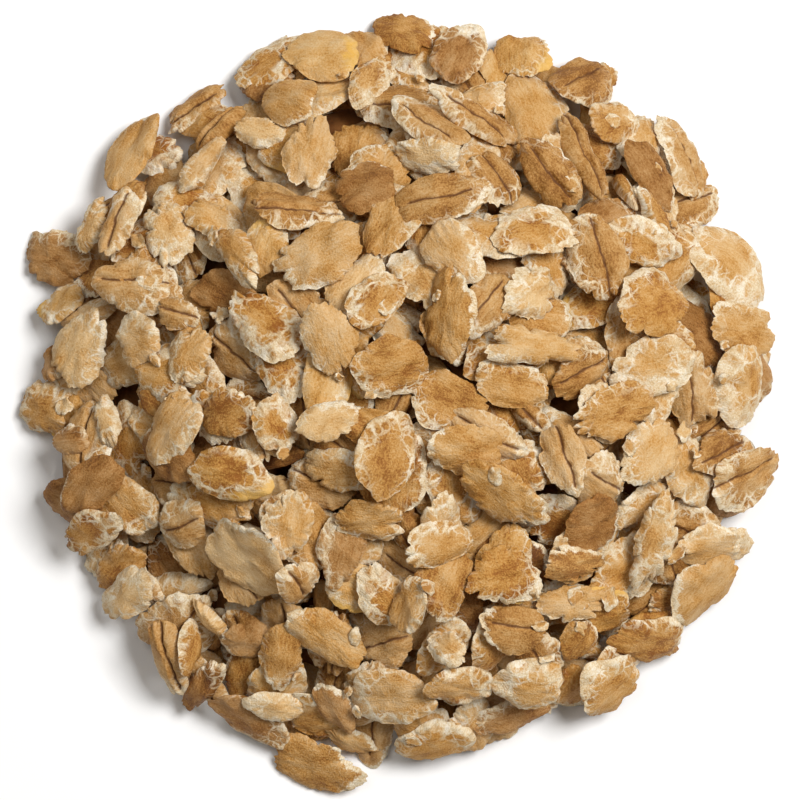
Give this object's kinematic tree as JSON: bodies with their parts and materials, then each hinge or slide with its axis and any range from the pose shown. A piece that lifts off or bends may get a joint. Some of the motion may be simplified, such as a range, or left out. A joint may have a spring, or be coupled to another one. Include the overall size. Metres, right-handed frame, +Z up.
{
  "type": "heap of spelt flakes",
  "caption": "Low round heap of rolled whole-grain spelt flakes with an uneven edge, lying on a flat surface as food dressing for a table, board or bowl.",
  "frame": {"origin": "middle of the heap's outline, on the surface that it lies on", "axes": "+Z up, +X to the right and +Y to the top as the heap is seen from above"},
  "size_m": [0.0952, 0.0978, 0.0266],
  "materials": {
    "flakes": "dry rolled grain, tan bran with pale cream cracks and rims, matte"
  },
  "bodies": {
    "root": {"flake_heap": "flakes"}
  },
  "joints": []
}
